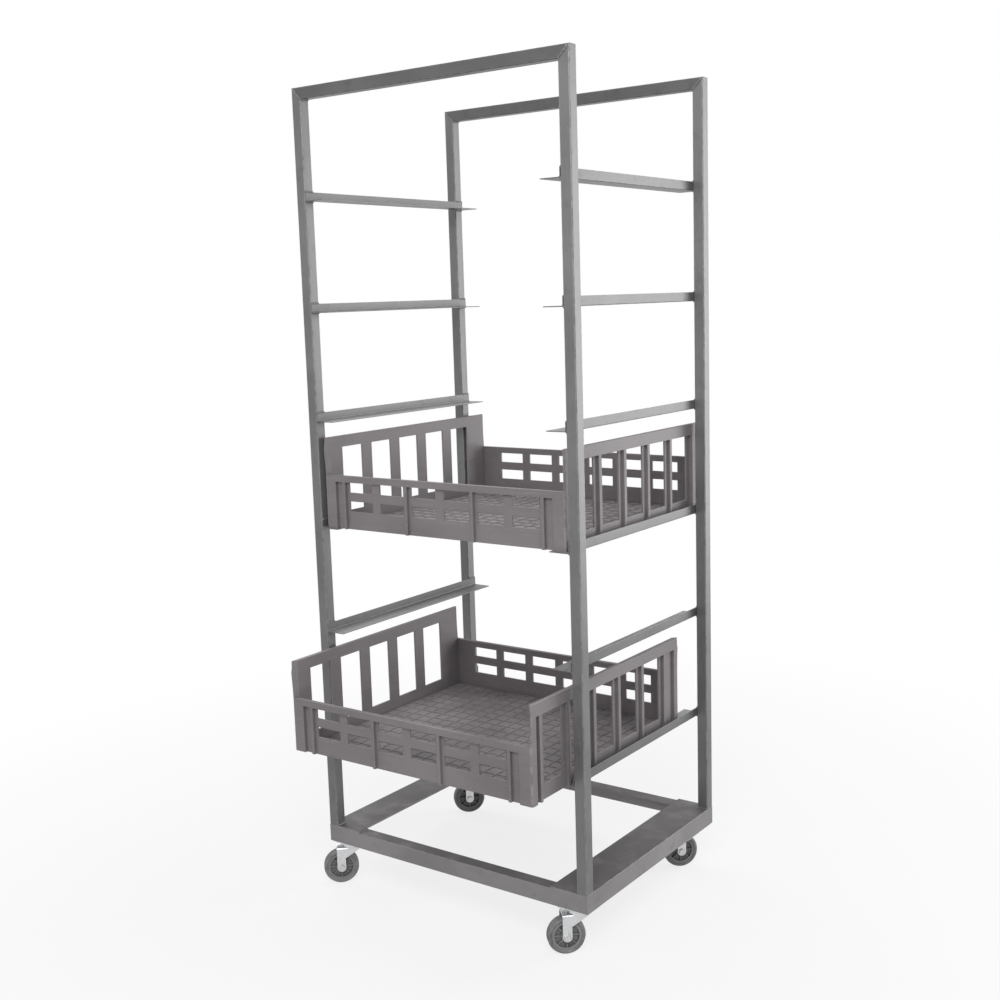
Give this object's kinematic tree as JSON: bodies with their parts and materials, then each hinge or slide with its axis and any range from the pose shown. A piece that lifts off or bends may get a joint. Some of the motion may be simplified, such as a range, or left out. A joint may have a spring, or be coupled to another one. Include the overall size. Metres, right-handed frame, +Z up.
{
  "type": "produce display rack",
  "caption": "Tall open steel rack on swivel casters, with angle runners at several levels that carry moulded produce crates which slide in and out.",
  "frame": {"origin": "on the floor under the middle of the welded frame", "axes": "+X to the right seen from the front, +Y to the back, +Z up"},
  "size_m": [0.7141, 0.721, 1.781],
  "materials": {
    "frame_steel": "satin zinc on tube and angle",
    "base_steel": "dull worn zinc on heavy angle",
    "crate_plastic": "matt moulded polyethylene, taupe grey",
    "caster_zinc": "bright zinc plate on pressed steel",
    "fastener_zinc": "bright zinc plate",
    "wheel_core": "matt moulded nylon",
    "tyre_rubber": "grey-black solid rubber"
  },
  "bodies": {
    "rack": {"post_front_left": "frame_steel", "post_front_right": "frame_steel", "post_rear_left": "frame_steel", "post_rear_right": "frame_steel", "top_bar_front": "frame_steel", "top_bar_rear": "frame_steel", "runner_left_1": "frame_steel", "runner_left_2": "frame_steel", "runner_left_3": "frame_steel", "runner_left_4": "frame_steel", "runner_left_5": "frame_steel", "runner_left_6": "frame_steel", "runner_right_1": "frame_steel", "runner_right_2": "frame_steel", "runner_right_3": "frame_steel", "runner_right_4": "frame_steel", "runner_right_5": "frame_steel", "runner_right_6": "frame_steel", "base_rail_left": "base_steel", "base_rail_right": "base_steel", "base_cross_front": "base_steel", "base_cross_rear": "base_steel", "corner_pads": "base_steel", "caster_bolts": "fastener_zinc", "caster_nuts": "fastener_zinc", "front_left_caster_plate": "caster_zinc", "front_left_kingpin": "fastener_zinc", "front_right_caster_plate": "caster_zinc", "front_right_kingpin": "fastener_zinc", "rear_left_caster_plate": "caster_zinc", "rear_left_kingpin": "fastener_zinc", "rear_right_caster_plate": "caster_zinc", "rear_right_kingpin": "fastener_zinc"},
    "upper_crate": {"upper_crate": "crate_plastic"},
    "lower_crate": {"lower_crate": "crate_plastic"},
    "front_left_swivel": {"front_left_caster_fork": "caster_zinc", "front_left_bearing_balls": "fastener_zinc", "front_left_axle": "fastener_zinc", "front_left_axle_sleeve": "fastener_zinc"},
    "front_left_wheel": {"front_left_wheel_hub": "wheel_core", "front_left_tyre": "tyre_rubber"},
    "front_right_swivel": {"front_right_caster_fork": "caster_zinc", "front_right_bearing_balls": "fastener_zinc", "front_right_axle": "fastener_zinc", "front_right_axle_sleeve": "fastener_zinc"},
    "front_right_wheel": {"front_right_wheel_hub": "wheel_core", "front_right_tyre": "tyre_rubber"},
    "rear_left_swivel": {"rear_left_caster_fork": "caster_zinc", "rear_left_bearing_balls": "fastener_zinc", "rear_left_axle": "fastener_zinc", "rear_left_axle_sleeve": "fastener_zinc"},
    "rear_left_wheel": {"rear_left_wheel_hub": "wheel_core", "rear_left_tyre": "tyre_rubber"},
    "rear_right_swivel": {"rear_right_caster_fork": "caster_zinc", "rear_right_bearing_balls": "fastener_zinc", "rear_right_axle": "fastener_zinc", "rear_right_axle_sleeve": "fastener_zinc"},
    "rear_right_wheel": {"rear_right_wheel_hub": "wheel_core", "rear_right_tyre": "tyre_rubber"}
  },
  "joints": [
    {"name": "upper_crate_slide", "type": "slide", "parent": "rack", "child": "upper_crate", "axis": [0, -1, 0], "range_m": [-0.55, 0.6]},
    {"name": "lower_crate_slide", "type": "slide", "parent": "rack", "child": "lower_crate", "axis": [0, -1, 0], "range_m": [-0.687, 0.463]},
    {"name": "front_left_swivel_turn", "type": "hinge", "parent": "rack", "child": "front_left_swivel", "pos_m": [-0.31, -0.245, 0.0865], "axis": [0, 0, 1], "continuous": true},
    {"name": "front_left_wheel_spin", "type": "hinge", "parent": "front_left_swivel", "child": "front_left_wheel", "pos_m": [-0.3298, -0.2648, 0.04], "axis": [0.7071, -0.7071, 0], "continuous": true},
    {"name": "front_right_swivel_turn", "type": "hinge", "parent": "rack", "child": "front_right_swivel", "pos_m": [0.31, -0.245, 0.0865], "axis": [0, 0, 1], "continuous": true},
    {"name": "front_right_wheel_spin", "type": "hinge", "parent": "front_right_swivel", "child": "front_right_wheel", "pos_m": [0.2902, -0.2648, 0.04], "axis": [0.7071, -0.7071, 0], "continuous": true},
    {"name": "rear_left_swivel_turn", "type": "hinge", "parent": "rack", "child": "rear_left_swivel", "pos_m": [-0.31, 0.245, 0.0865], "axis": [0, 0, 1], "continuous": true},
    {"name": "rear_left_wheel_spin", "type": "hinge", "parent": "rear_left_swivel", "child": "rear_left_wheel", "pos_m": [-0.3298, 0.2252, 0.04], "axis": [0.7071, -0.7071, 0], "continuous": true},
    {"name": "rear_right_swivel_turn", "type": "hinge", "parent": "rack", "child": "rear_right_swivel", "pos_m": [0.31, 0.245, 0.0865], "axis": [0, 0, 1], "continuous": true},
    {"name": "rear_right_wheel_spin", "type": "hinge", "parent": "rear_right_swivel", "child": "rear_right_wheel", "pos_m": [0.2902, 0.2252, 0.04], "axis": [0.7071, -0.7071, 0], "continuous": true}
  ]
}
